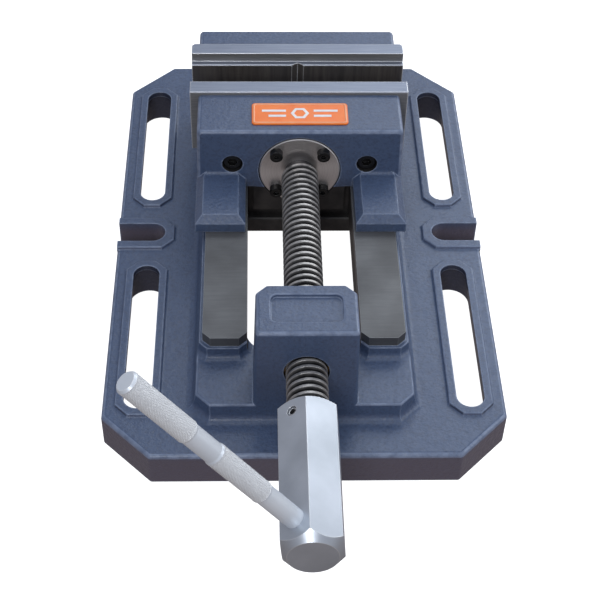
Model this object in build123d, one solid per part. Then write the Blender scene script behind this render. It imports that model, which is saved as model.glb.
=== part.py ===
from build123d import *
import math
import os

# Drill-press machine vise with 120 mm jaws, in millimetres.
# Origin at the centre of the base plate's underside, +Z up, +Y from the handle end
# towards the fixed jaw, +X to the right as seen from the handle.

# ---------------------------------------------------------------- driving dimensions
# Base plate
BASE_LENGTH = 310.0
BASE_WIDTH = 201.0
BASE_THICKNESS = 20.0
BASE_CORNER = 24.8                 # 45 degree cut at each corner of the plate
BASE_CORNER_RADIUS = 2.0
BASE_EDGE_RADIUS = 2.5

# Fixing slots and side notches, for 12 mm bolts
SLOT_X = 83.0
SLOT_Y = 76.5
SLOT_WIDTH = 14.0
SLOT_LENGTH = 100.0
NOTCH_DEPTH = 26.2
BOSS_HEIGHT = 2.0
SLOT_BOSS_MARGIN = 4.0             # boss flat left round a slot
NOTCH_BOSS_MARGIN = 5.0            # boss flat left round a notch
BOSS_CORNER = 6.5
BOSS_FOOT_RADIUS = 1.2
BOSS_EDGE_RADIUS = 0.7
RELIEF_SIDE = 3.4                  # slot's relief on the underside: wider each side,
RELIEF_END = 2.4                   # longer at each end,
RELIEF_LIP = 3.5                   # and stopping this far under the boss's top

# Raised platform that carries the ways
PLATFORM_FRONT_Y = -132.5
PLATFORM_REAR_Y = 106.0
PLATFORM_TOP_Z = 31.2
PLATFORM_HALF_TOP = 53.7
PLATFORM_HALF_FOOT = 55.7
PLATFORM_CORNER = 9.0
PLATFORM_REAR_CORNER = 3.0
PLATFORM_FOOT_RADIUS = 4.0
PLATFORM_EDGE_RADIUS = 1.2

# Machined ways and the painted shoulder under them
WAY_INNER_X = 28.5
WAY_OUTER_X = 50.8
WAY_TOP_Z = 43.8
WAY_FRONT_Y = -100.0
WAY_CORNER = 4.0
SHOULDER_TOP_Z = 38.0
SHOULDER_LEDGE = 1.6
SHOULDER_FOOT_RADIUS = 3.2

# Window between the ways, and the keeper's pocket on the underside
WINDOW_FRONT_Y = -97.0
WINDOW_REAR_Y = 68.0
WINDOW_CORNER = 7.0
BRIDGE_TOP_Z = 42.0
KEEPER_POCKET_HALF = 46.5
KEEPER_POCKET_FRONT_Y = -92.0
KEEPER_POCKET_REAR_Y = 70.0
KEEPER_POCKET_RADIUS = 6.0

# Nut block
BLOCK_REAR_Y = -100.6
BLOCK_TOP_Z = 82.5
BLOCK_HALF_TOP = 24.2
BLOCK_HALF_FOOT = 25.6
BLOCK_CORNER = 6.6
BLOCK_EDGE_RADIUS = 2.0
BLOCK_ROOT = 3.0                   # how far the block runs down into the platform
BLOCK_MOUTH_R = 11.0
BLOCK_MOUTH_DEPTH = 3.0
RECESS_Y = -115.9
RECESS_LENGTH = 17.6
RECESS_WIDTH = 34.0
RECESS_DEPTH = 2.2
RECESS_CORNER_RADIUS = 3.2
RECESS_EDGE_RADIUS = 0.8

# Lead screw, Tr20 x 4, right hand. Its thread is cut as rings of the same section.
SCREW_Z = 55.5
THREAD_PITCH = 4.0
THREAD_MAJOR_R = 10.0
THREAD_MINOR_R = 7.75
THREAD_CREST = 1.464               # flat at the crest, along the axis
THREAD_FLANK = 0.603               # axial run of one flank
THREAD_START_Y = -157.7
THREAD_END_Y = 8.5
SCREW_END_Y = 34.95
NECK_R = 7.75

# Nut insert and the pin that keeps it from turning
NUT_R = 15.0
NUT_PIN_R = 2.5
NUT_PIN_LENGTH = 12.0
NUT_PIN_ANGLE = 45.0

# Hexagon hub, its spring pin and the handle. Angles run from straight up towards +X.
HUB_ACROSS_FLATS = 27.0
HUB_LENGTH = 78.2
HUB_ANGLE = -6.0                   # rest angle of the hub's top corner
HUB_FRONT_DISC_R = 11.3
HUB_FRONT_CHAMFER = 4.8
HUB_REAR_DISC_R = 12.6
HUB_REAR_CHAMFER = 2.4
SPIGOT_R = 7.5
SPIGOT_LENGTH = 26.0
HUB_PIN_INSET = 7.3                # from the hub's rear end
HUB_PIN_R = 2.5
HUB_PIN_BORE_R = 1.5
HUB_PIN_SLIT = 0.8
HUB_PIN_LENGTH = 26.0
HANDLE_INSET = 12.4                # from the hub's front end
HANDLE_ANGLE = HUB_ANGLE - 30.0
HANDLE_STUD_R = 4.0
HANDLE_STUD_LENGTH = 11.0
HANDLE_PLAIN_R = 4.7
HANDLE_GRIP_R = 5.2
HANDLE_STEPS = [                   # (end of the stretch from the screw axis, radius)
    (36.0, HANDLE_PLAIN_R),
    (70.0, HANDLE_GRIP_R),
    (85.5, HANDLE_PLAIN_R),
    (124.0, HANDLE_GRIP_R),
]
HANDLE_STEP_CHAMFER = 0.3
HANDLE_END_CHAMFER = 0.9

# Jaw castings
JAW_TOP_Z = 82.5
MOVING_FRONT_Y = 13.5
MOVING_REAR_Y = 45.0
MOVING_HALF_TOP = 55.4
MOVING_HALF_FOOT = 56.4
JAW_EDGE_RADIUS = 2.4
PAD_FRONT_Y = -23.2
PAD_INNER_X = 29.5
PAD_TOP_Z = 53.2
PAD_CHAMFER = 3.8
PAD_FILLET = 2.0
FIXED_FRONT_Y = 90.0
FIXED_REAR_TOP_Y = 106.0
FIXED_REAR_FOOT_Y = 111.0
FIXED_HALF_TOP = 55.9
FIXED_HALF_FOOT = 57.2
RIB_X = 20.0
RIB_THICKNESS = 10.0
RIB_TOP_Z = 70.0
RIB_REAR_Y = 143.0
RIB_REAR_HEIGHT = 3.0

# Hardened jaw plates, 120 mm wide
PLATE_HALF_WIDTH = 60.0
PLATE_BOTTOM_Z = 44.6
PLATE_TOP_Z = 84.6
PLATE_LEDGE_Z = 79.2
PLATE_THICKNESS = 13.0
PLATE_LEDGE_DEPTH = 3.5
PLATE_CHAMFER = 0.4
PLATE_REAR_CORNER = 2.0
VEE_HALF_WIDTH = 3.3
VEE_DEPTH = 2.2

# Jaw plate screws, M6
PLATE_SCREW_X = 36.6
PLATE_SCREW_Z = 60.0
PLATE_SCREW_BITE = 9.0             # length of screw inside the plate
COUNTERBORE_R = 5.65
COUNTERBORE_DEPTH = 7.5

# Screw flange and its M4 screws
FLANGE_R = 22.0
FLANGE_RECESS_R = 22.5
FLANGE_THICKNESS = 8.0
FLANGE_STAND_OUT = 0.6
FLANGE_SCREW_PCD = 36.0
FLANGE_SCREW_LENGTH = 16.0
FLANGE_SCREW_ANGLES = (45, 135, 225, 315)

# Thrust pocket in the moving jaw
THRUST_POCKET_R = 14.0
THRUST_POCKET_END_Y = 38.0
THRUST_PAD_R = 13.0
THRUST_PAD_THICKNESS = 3.0
COLLAR_R = 12.5
COLLAR_LENGTH = 10.0
COLLAR_PIN_R = 2.0

# Tenon, keeper plate and its M6 screws
TENON_FRONT_Y = 18.0
TENON_SIDE_GAP = 0.08
SLIDE_GAP = 0.05
APRON_HALF = 25.3
APRON_BOTTOM_Z = 26.75
KEEPER_HALF = 44.0
KEEPER_FRONT_Y = 13.3
KEEPER_LENGTH = 33.0
KEEPER_THICKNESS = 10.5
KEEPER_CHAMFER = 0.8
KEEPER_SCREW_X = 16.0
KEEPER_SCREW_Y = (23.5, 37.5)
KEEPER_SCREW_BITE = 10.0
KEEPER_COUNTERBORE_R = 6.2
KEEPER_COUNTERBORE_DEPTH = 7.6
SPRING_WASHER_R = 5.5
SPRING_WASHER_THICKNESS = 1.6
SPRING_WASHER_SLIT = 1.0

# Nameplate on top of the moving jaw
NAMEPLATE_LENGTH = 18.0
NAMEPLATE_WIDTH = 52.0
NAMEPLATE_THICKNESS = 0.9
NAMEPLATE_Y = 28.0
NAMEPLATE_CORNER_RADIUS = 2.0

# Socket head cap screws: shank radius, head radius, head height, key size, socket depth
CAP_SCREWS = {
    "M4": (2.0, 3.5, 4.0, 3.0, 2.2),
    "M6": (3.0, 5.0, 6.0, 5.0, 3.2),
}

# Fits, as radial gaps
RUNNING_GAP = 0.08                 # a part that turns
SEATED_GAP = 0.03                  # a pinned, pressed or screwed part
CLEAR_GAP = 0.3                    # a screw's clearance hole

# ---------------------------------------------------------------- derived places
HUB_CORNER_R = HUB_ACROSS_FLATS / 2 / math.cos(math.radians(30))
HUB_FRONT_Y = THREAD_START_Y - HUB_LENGTH
HUB_PIN_Y = THREAD_START_Y - HUB_PIN_INSET
HANDLE_Y = HUB_FRONT_Y + HANDLE_INSET
FLANGE_FRONT_Y = MOVING_FRONT_Y - FLANGE_STAND_OUT
FLANGE_REAR_Y = FLANGE_FRONT_Y + FLANGE_THICKNESS
COLLAR_START_Y = FLANGE_REAR_Y + RUNNING_GAP
COLLAR_PIN_Y = COLLAR_START_Y + COLLAR_LENGTH / 2
MOVING_FOOT_Z = WAY_TOP_Z + SLIDE_GAP
TENON_BOTTOM_Z = BASE_THICKNESS - SLIDE_GAP
TENON_HALF = WAY_INNER_X - TENON_SIDE_GAP
KEEPER_BOTTOM_Z = TENON_BOTTOM_Z - KEEPER_THICKNESS
KEEPER_SEAT_Z = KEEPER_BOTTOM_Z + KEEPER_COUNTERBORE_DEPTH
NUT_FRONT_Y = PLATFORM_FRONT_Y + BLOCK_MOUTH_DEPTH


# ---------------------------------------------------------------- shape helpers
def brick(x, y, z):
    """Box between the given (low, high) pairs."""
    pairs = (x, y, z)
    size = [high - low for low, high in pairs]
    centre = [(high + low) / 2 for low, high in pairs]
    return Pos(*centre) * Box(*size)


def plan_prism(points, z_low, z_high):
    """Upright prism on an outline of (x, y) points."""
    face = Pos(0, 0, z_low) * Polygon(*points, align=None)
    return extrude(face, z_high - z_low, dir=(0, 0, 1))


def cross_prism(points, y_low, y_high):
    """Prism along Y on an outline of (x, z) points."""
    face = Pos(0, y_low, 0) * (Plane.XZ * Polygon(*points, align=None))
    return extrude(face, y_high - y_low, dir=(0, 1, 0))


def side_prism(points, x_low, x_high):
    """Prism along X on an outline of (y, z) points."""
    face = Pos(x_low, 0, 0) * (Plane.YZ * Polygon(*points, align=None))
    return extrude(face, x_high - x_low, dir=(1, 0, 0))


def rod_y(radius, y_low, y_high, x=0.0, z=SCREW_Z):
    """Cylinder along Y, on the lead screw axis unless told otherwise."""
    length = y_high - y_low
    return Pos(x, y_low + length / 2, z) * Rot(90, 0, 0) * Cylinder(radius, length)


def rod_z(radius, z_low, z_high, x=0.0, y=0.0):
    """Cylinder along Z."""
    length = z_high - z_low
    return Pos(x, y, z_low + length / 2) * Cylinder(radius, length)


def turned_y(profile):
    """Solid turned about the lead screw axis, from (radius, y) points."""
    return Pos(0, 0, SCREW_Z) * revolve(Polygon(*profile, align=None), Axis.Y)


def with_mirror(part):
    """The part together with its mirror image across the YZ plane."""
    return part + mirror(part, Plane.YZ)


def near(value, target):
    return abs(value - target) < 0.05


def cut_corner_outline(half_width, y_front, y_rear, front_cut, rear_cut):
    """Rectangle symmetric about x = 0, its corners cut at 45 degrees where a cut is given."""
    right = [(half_width, y_front)]
    if front_cut:
        right = [(half_width - front_cut, y_front), (half_width, y_front + front_cut)]
    if rear_cut:
        right += [(half_width, y_rear - rear_cut), (half_width - rear_cut, y_rear)]
    else:
        right += [(half_width, y_rear)]
    return right + [(-x, y) for x, y in reversed(right)]


def corner_cutter(x, y, size, z_low, side):
    """Triangular cutter for the front corner at (x, y) that faces side (+1 or -1 along X)."""
    reach = 10.0
    outline = [
        (x - side * (size + reach), y - reach),
        (x + side * reach, y - reach),
        (x + side * reach, y + size + reach),
    ]
    return plan_prism(outline, z_low, JAW_TOP_Z)


def cap_screw(size, length):
    """Socket head cap screw: head above z = 0, shank below it."""
    shank_r, head_r, head_height, key_size, socket_depth = CAP_SCREWS[size]
    shank = rod_z(shank_r, -length, 0)
    shank = chamfer(shank.edges().sort_by(Axis.Z)[0], shank_r * 0.2)
    head = rod_z(head_r, 0, head_height)
    head = fillet(head.edges().sort_by(Axis.Z)[-1], head_r * 0.12)
    socket_r = key_size / 2 / math.cos(math.radians(30))
    socket_floor = Pos(0, 0, head_height - socket_depth) * RegularPolygon(socket_r, 6)
    return head + shank - extrude(socket_floor, socket_depth, dir=(0, 0, 1))


def about_screw(angle, radius):
    """(x, z) at an angle from straight up towards +X, at a radius from the screw axis."""
    turn = math.radians(angle)
    return radius * math.sin(turn), SCREW_Z + radius * math.cos(turn)


# ---------------------------------------------------------------- base casting
def side_wall_x(z):
    """Half-width of the drafted side wall that the platform and way shoulders share."""
    slope = (PLATFORM_HALF_FOOT - PLATFORM_HALF_TOP) / (PLATFORM_TOP_Z - BASE_THICKNESS)
    return PLATFORM_HALF_FOOT - slope * (z - BASE_THICKNESS)


def drafted_layer(x_inner, z_low, z_high, y_low, y_high):
    """Layer of the casting from x_inner out to its drafted right-hand side wall."""
    outline = [
        (x_inner, z_low),
        (side_wall_x(z_low), z_low),
        (side_wall_x(z_high), z_high),
        (x_inner, z_high),
    ]
    return cross_prism(outline, y_low, y_high)


def base_plate():
    half_length = BASE_LENGTH / 2
    outline = cut_corner_outline(BASE_WIDTH / 2, -half_length, half_length, BASE_CORNER, BASE_CORNER)
    plate = plan_prism(outline, 0, BASE_THICKNESS)
    plate = fillet(plate.edges().filter_by(Axis.Z), BASE_CORNER_RADIUS)
    return fillet(plate.faces().sort_by(Axis.Z)[-1].edges(), BASE_EDGE_RADIUS)


def way_shoulder():
    """Right-hand shoulder under a way, with both its front corners cut."""
    front_y = WAY_FRONT_Y - SHOULDER_LEDGE
    outer_x = side_wall_x(SHOULDER_TOP_Z)
    shoulder = drafted_layer(WAY_INNER_X, PLATFORM_TOP_Z, SHOULDER_TOP_Z, front_y, PLATFORM_REAR_Y)
    shoulder -= corner_cutter(outer_x, front_y, WAY_CORNER, PLATFORM_TOP_Z, 1)
    return shoulder - corner_cutter(WAY_INNER_X, front_y, WAY_CORNER, PLATFORM_TOP_Z, -1)


def platform_on_plate():
    """Plate, platform and way shoulders, with the cast radii between them."""
    plan = cut_corner_outline(
        PLATFORM_HALF_FOOT, PLATFORM_FRONT_Y, PLATFORM_REAR_Y, PLATFORM_CORNER, PLATFORM_REAR_CORNER
    )
    platform = with_mirror(
        drafted_layer(-1, BASE_THICKNESS, PLATFORM_TOP_Z, PLATFORM_FRONT_Y, PLATFORM_REAR_Y)
    )
    upper = (platform + with_mirror(way_shoulder())) & plan_prism(plan, 0, JAW_TOP_Z)
    body = base_plate() + upper
    shoulder_y = WAY_FRONT_Y - SHOULDER_LEDGE
    wall_x = side_wall_x(PLATFORM_TOP_Z)

    def edges_at(z, y_low, y_high, x_limit):
        level = [edge for edge in body.edges() if near(edge.center().Z, z)]
        inside = [edge for edge in level if y_low < edge.center().Y < y_high]
        return [edge for edge in inside if abs(edge.center().X) < x_limit]

    foot = edges_at(
        BASE_THICKNESS, PLATFORM_FRONT_Y - 1, PLATFORM_REAR_Y + 1, PLATFORM_HALF_FOOT + 1
    )
    body = fillet(foot, PLATFORM_FOOT_RADIUS)
    shoulder_foot = edges_at(PLATFORM_TOP_Z, shoulder_y - 1, PLATFORM_REAR_Y - 1, wall_x - 1)
    body = fillet(shoulder_foot, SHOULDER_FOOT_RADIUS)
    rim_end_y = shoulder_y - SHOULDER_FOOT_RADIUS - 0.2
    rim = edges_at(PLATFORM_TOP_Z, PLATFORM_FRONT_Y - 1, rim_end_y, BASE_WIDTH)
    return fillet(rim, PLATFORM_EDGE_RADIUS)


def boss(outline, x=0.0, y=0.0):
    """Raised boss on the plate's top, with radii round its foot and its rim."""
    reach = BASE_LENGTH / 2
    slab = brick((-reach, reach), (-reach, reach), (0, BASE_THICKNESS))
    raised = slab + plan_prism(outline, BASE_THICKNESS, BASE_THICKNESS + BOSS_HEIGHT)
    foot = [edge for edge in raised.edges() if near(edge.center().Z, BASE_THICKNESS)]
    raised = fillet([edge for edge in foot if edge.length < reach], BOSS_FOOT_RADIUS)
    raised = fillet(raised.faces().sort_by(Axis.Z)[-1].edges(), BOSS_EDGE_RADIUS)
    return Pos(x, y, 0) * (raised - slab)


def slot_boss(x, y):
    half_x = SLOT_WIDTH / 2 + SLOT_BOSS_MARGIN
    half_y = SLOT_LENGTH / 2 + SLOT_BOSS_MARGIN
    return boss(cut_corner_outline(half_x, -half_y, half_y, BOSS_CORNER, BOSS_CORNER), x, y)


def notch_boss():
    """Boss round the right-hand notch, running out flush with the side of the plate."""
    inner_x = BASE_WIDTH / 2 - NOTCH_DEPTH - NOTCH_BOSS_MARGIN
    half_y = SLOT_WIDTH / 2 + NOTCH_BOSS_MARGIN
    outline = [
        (BASE_WIDTH / 2 + 10, -half_y),
        (BASE_WIDTH / 2 + 10, half_y),
        (inner_x + BOSS_CORNER, half_y),
        (inner_x, half_y - BOSS_CORNER),
        (inner_x, BOSS_CORNER - half_y),
        (inner_x + BOSS_CORNER, -half_y),
    ]
    end_x = BASE_WIDTH / 2
    rim_x = (end_x - 2 * BASE_EDGE_RADIUS, end_x)
    rim = brick(rim_x, (-half_y, half_y), (BASE_THICKNESS - 2 * BASE_EDGE_RADIUS, BASE_THICKNESS))
    beyond = brick((end_x, end_x + 20), (-half_y - 9, half_y + 9), (0, BASE_THICKNESS + 9))
    return rim + (boss(outline) - beyond)


def slot_cutter(x, y):
    """Bolt slot through plate and boss, with its wider relief on the underside."""
    height = BASE_THICKNESS + BOSS_HEIGHT + 2
    slot = SlotOverall(SLOT_LENGTH, SLOT_WIDTH, rotation=90)
    relief = SlotOverall(SLOT_LENGTH + 2 * RELIEF_END, SLOT_WIDTH + 2 * RELIEF_SIDE, rotation=90)
    cutter = extrude(Pos(x, y, -1) * slot, height, dir=(0, 0, 1))
    return cutter + extrude(Pos(x, y, -1) * relief, height - 1 - RELIEF_LIP, dir=(0, 0, 1))


def notch_cutter():
    half = SLOT_WIDTH / 2
    end_x = BASE_WIDTH / 2 - NOTCH_DEPTH + half
    top_z = BASE_THICKNESS + BOSS_HEIGHT + 1
    mouth = brick((end_x, BASE_WIDTH), (-half, half), (-1, top_z))
    return rod_z(half, -1, top_z, end_x, 0) + mouth


def way():
    """Right-hand machined way, down to its shoulder."""
    low_z = SHOULDER_TOP_Z - 1
    rail = brick((WAY_INNER_X, WAY_OUTER_X), (WAY_FRONT_Y, FIXED_FRONT_Y + 5), (low_z, WAY_TOP_Z))
    rail -= corner_cutter(WAY_OUTER_X, WAY_FRONT_Y, WAY_CORNER, low_z - 1, 1)
    return rail - corner_cutter(WAY_INNER_X, WAY_FRONT_Y, WAY_CORNER, low_z - 1, -1)


def nut_block():
    """Drafted block that holds the nut, rounded on its upright and top edges."""
    low_z = PLATFORM_TOP_Z - BLOCK_ROOT
    outline = [
        (-BLOCK_HALF_FOOT, low_z),
        (BLOCK_HALF_FOOT, low_z),
        (BLOCK_HALF_TOP, BLOCK_TOP_Z),
        (-BLOCK_HALF_TOP, BLOCK_TOP_Z),
    ]
    plan = cut_corner_outline(BLOCK_HALF_FOOT, PLATFORM_FRONT_Y, BLOCK_REAR_Y, 0, BLOCK_CORNER)
    body = cross_prism(outline, PLATFORM_FRONT_Y, BLOCK_REAR_Y) & plan_prism(plan, 0, BLOCK_TOP_Z + 1)
    middle_z = (low_z + BLOCK_TOP_Z) / 2
    body = fillet([edge for edge in body.edges() if abs(edge.center().Z - middle_z) < 1], BLOCK_EDGE_RADIUS)
    body = fillet(body.faces().sort_by(Axis.Z)[-1].edges(), BLOCK_EDGE_RADIUS)
    recess = RectangleRounded(RECESS_WIDTH, RECESS_LENGTH, RECESS_CORNER_RADIUS)
    recess_floor = Pos(0, RECESS_Y, BLOCK_TOP_Z - RECESS_DEPTH) * recess
    body -= extrude(recess_floor, RECESS_DEPTH + 1, dir=(0, 0, 1))
    rim = [edge for edge in body.edges() if near(edge.center().Z, BLOCK_TOP_Z)]
    rim = [edge for edge in rim if abs(edge.center().Y - RECESS_Y) < RECESS_LENGTH / 2 + 0.1]
    rim = [edge for edge in rim if abs(edge.center().X) < RECESS_WIDTH / 2 + 0.1]
    return fillet(rim, RECESS_EDGE_RADIUS)


def fixed_jaw():
    """Fixed jaw wall with two ribs behind it."""
    side = [
        (FIXED_FRONT_Y, BASE_THICKNESS),
        (FIXED_FRONT_Y, JAW_TOP_Z),
        (FIXED_REAR_TOP_Y, JAW_TOP_Z),
        (FIXED_REAR_FOOT_Y, BASE_THICKNESS),
    ]
    front = [
        (-FIXED_HALF_FOOT, BASE_THICKNESS),
        (FIXED_HALF_FOOT, BASE_THICKNESS),
        (FIXED_HALF_TOP, JAW_TOP_Z),
        (-FIXED_HALF_TOP, JAW_TOP_Z),
    ]
    wall = side_prism(side, -FIXED_HALF_FOOT, FIXED_HALF_FOOT)
    wall &= cross_prism(front, FIXED_FRONT_Y, FIXED_REAR_FOOT_Y)
    rounded = [edge for edge in wall.edges() if edge.center().Y > FIXED_FRONT_Y + 1]
    rounded = [edge for edge in rounded if edge.center().Z > BASE_THICKNESS + 1]
    wall = fillet(rounded, JAW_EDGE_RADIUS)
    rib = [
        (FIXED_FRONT_Y + 5, BASE_THICKNESS),
        (FIXED_FRONT_Y + 5, RIB_TOP_Z),
        (FIXED_REAR_TOP_Y + 2, RIB_TOP_Z),
        (RIB_REAR_Y, BASE_THICKNESS + RIB_REAR_HEIGHT),
        (RIB_REAR_Y, BASE_THICKNESS),
    ]
    return wall + with_mirror(side_prism(rib, RIB_X - RIB_THICKNESS / 2, RIB_X + RIB_THICKNESS / 2))


def nut_pin_rod(radius, y_low, y_high):
    x, z = about_screw(NUT_PIN_ANGLE, NUT_R)
    return rod_y(radius, y_low, y_high, x, z)


def nut_pin_hole():
    return nut_pin_rod(NUT_PIN_R + SEATED_GAP, BLOCK_REAR_Y - NUT_PIN_LENGTH, BLOCK_REAR_Y + 1)


def fixed_screw_seat_y():
    """Where the fixed jaw plate's screw heads seat, in the sloping rear of the jaw wall."""
    share = (JAW_TOP_Z - PLATE_SCREW_Z) / (JAW_TOP_Z - BASE_THICKNESS)
    wall_y = FIXED_REAR_TOP_Y + (FIXED_REAR_FOOT_Y - FIXED_REAR_TOP_Y) * share
    return wall_y - COUNTERBORE_DEPTH


def make_base_casting():
    casting = platform_on_plate()
    slot_places = [(x, y) for x in (-SLOT_X, SLOT_X) for y in (-SLOT_Y, SLOT_Y)]
    for x, y in slot_places:
        casting += slot_boss(x, y)
    casting += with_mirror(notch_boss())
    casting += nut_block()
    casting += fixed_jaw()
    casting += with_mirror(way())
    bridge_y = (WINDOW_REAR_Y, FIXED_FRONT_Y + 5)
    bridge_x = (-WAY_INNER_X - 1, WAY_INNER_X + 1)
    casting += brick(bridge_x, bridge_y, (PLATFORM_TOP_Z - 1, BRIDGE_TOP_Z))
    for x, y in slot_places:
        casting -= slot_cutter(x, y)
    casting -= with_mirror(notch_cutter())
    window = cut_corner_outline(WAY_INNER_X, WINDOW_FRONT_Y, WINDOW_REAR_Y, WINDOW_CORNER, 0)
    casting -= plan_prism(window, -1, JAW_TOP_Z)
    pocket_x = (-KEEPER_POCKET_HALF, KEEPER_POCKET_HALF)
    pocket_y = (KEEPER_POCKET_FRONT_Y, KEEPER_POCKET_REAR_Y)
    pocket = brick(pocket_x, pocket_y, (-1, BASE_THICKNESS))
    casting -= fillet(pocket.edges().filter_by(Axis.Z), KEEPER_POCKET_RADIUS)
    casting -= rod_y(BLOCK_MOUTH_R, PLATFORM_FRONT_Y - 1, BLOCK_REAR_Y)
    casting -= rod_y(NUT_R, NUT_FRONT_Y, BLOCK_REAR_Y + 1)
    casting -= nut_pin_hole()
    seat_y = fixed_screw_seat_y()
    hole_r = CAP_SCREWS["M6"][0] + CLEAR_GAP
    for x in (-PLATE_SCREW_X, PLATE_SCREW_X):
        casting -= rod_y(hole_r, FIXED_FRONT_Y - 1, seat_y + 1, x, PLATE_SCREW_Z)
        casting -= rod_y(COUNTERBORE_R, seat_y, FIXED_REAR_FOOT_Y + 1, x, PLATE_SCREW_Z)
    return casting


# ---------------------------------------------------------------- pieces fixed to the base
def make_lead_screw_nut():
    """Nut insert, its thread cut away to a running fit on the screw's crests."""
    nut = rod_y(NUT_R - SEATED_GAP, NUT_FRONT_Y, BLOCK_REAR_Y)
    nut -= rod_y(THREAD_MAJOR_R + RUNNING_GAP, NUT_FRONT_Y - 1, BLOCK_REAR_Y + 1)
    return nut - nut_pin_hole()


def make_nut_locking_pin():
    pin = nut_pin_rod(NUT_PIN_R, BLOCK_REAR_Y - NUT_PIN_LENGTH, BLOCK_REAR_Y)
    return chamfer(pin.edges().filter_by(GeomType.CIRCLE), 0.4)


def jaw_plate(back_y, facing):
    """Jaw plate standing on back_y and gripping towards facing (+1 or -1 along Y)."""
    lower_y = back_y + facing * PLATE_THICKNESS
    ledge_y = back_y + facing * (PLATE_THICKNESS - PLATE_LEDGE_DEPTH)
    outline = [
        (back_y, PLATE_BOTTOM_Z),
        (lower_y, PLATE_BOTTOM_Z),
        (lower_y, PLATE_LEDGE_Z),
        (ledge_y, PLATE_LEDGE_Z),
        (ledge_y, PLATE_TOP_Z),
        (back_y, PLATE_TOP_Z),
    ]
    plate = side_prism(outline, -PLATE_HALF_WIDTH, PLATE_HALF_WIDTH)
    outer = [edge for edge in plate.edges().filter_by(Axis.X) if not near(edge.center().Y, ledge_y)]
    plate = chamfer(outer, PLATE_CHAMFER)
    hole_r = CAP_SCREWS["M6"][0] + SEATED_GAP
    low_y, high_y = sorted((back_y, back_y + facing * PLATE_SCREW_BITE))
    for x in (-PLATE_SCREW_X, PLATE_SCREW_X):
        plate -= rod_y(hole_r, low_y, high_y, x, PLATE_SCREW_Z)
    return plate


def make_fixed_jaw_plate():
    """Fixed plate, with the upright vee that holds round work."""
    plate = jaw_plate(FIXED_FRONT_Y, -1)
    upright = [edge for edge in plate.edges().filter_by(Axis.Z) if near(edge.center().Y, FIXED_FRONT_Y)]
    ends = [edge for edge in upright if abs(edge.center().X) > PLATE_HALF_WIDTH - 1]
    plate = chamfer(ends, PLATE_REAR_CORNER)
    face_y = FIXED_FRONT_Y - PLATE_THICKNESS
    open_half = VEE_HALF_WIDTH * (VEE_DEPTH + 1) / VEE_DEPTH
    vee = [(-open_half, face_y - 1), (open_half, face_y - 1), (0, face_y + VEE_DEPTH)]
    return plate - plan_prism(vee, PLATE_BOTTOM_Z - 1, PLATE_LEDGE_Z + 1)


def make_fixed_jaw_plate_screws():
    seat_y = fixed_screw_seat_y()
    length = seat_y - FIXED_FRONT_Y + PLATE_SCREW_BITE - 0.5
    screw = Rot(-90, 0, 0) * cap_screw("M6", length)
    return [Pos(x, seat_y, PLATE_SCREW_Z) * screw for x in (-PLATE_SCREW_X, PLATE_SCREW_X)]


# ---------------------------------------------------------------- moving jaw
def jaw_side_x(z):
    """Half-width of the moving jaw's drafted sides."""
    slope = (MOVING_HALF_FOOT - MOVING_HALF_TOP) / (JAW_TOP_Z - MOVING_FOOT_Z)
    return MOVING_HALF_FOOT - slope * (z - MOVING_FOOT_Z)


def jaw_body():
    """Jaw block on the ways, with its front and top edges rounded."""
    outline = [
        (-MOVING_HALF_FOOT, MOVING_FOOT_Z),
        (MOVING_HALF_FOOT, MOVING_FOOT_Z),
        (MOVING_HALF_TOP, JAW_TOP_Z),
        (-MOVING_HALF_TOP, JAW_TOP_Z),
    ]
    body = cross_prism(outline, MOVING_FRONT_Y, MOVING_REAR_Y)
    rounded = [edge for edge in body.edges() if edge.center().Y < MOVING_REAR_Y - 1]
    rounded = [edge for edge in rounded if edge.center().Z > MOVING_FOOT_Z + 1]
    return fillet(rounded, JAW_EDGE_RADIUS)


def front_pad():
    """Right-hand pad that reaches forward along its way."""
    outline = [
        (PAD_INNER_X, MOVING_FOOT_Z),
        (jaw_side_x(MOVING_FOOT_Z), MOVING_FOOT_Z),
        (jaw_side_x(PAD_TOP_Z), PAD_TOP_Z),
        (PAD_INNER_X, PAD_TOP_Z),
    ]
    pad = cross_prism(outline, PAD_FRONT_Y, MOVING_FRONT_Y + 5)
    top = [edge for edge in pad.edges() if near(edge.center().Z, PAD_TOP_Z)]
    return chamfer([edge for edge in top if edge.center().Y < MOVING_FRONT_Y + 1], PAD_CHAMFER)


def keeper_screw_places():
    return [(x, y) for x in (-KEEPER_SCREW_X, KEEPER_SCREW_X) for y in KEEPER_SCREW_Y]


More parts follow.
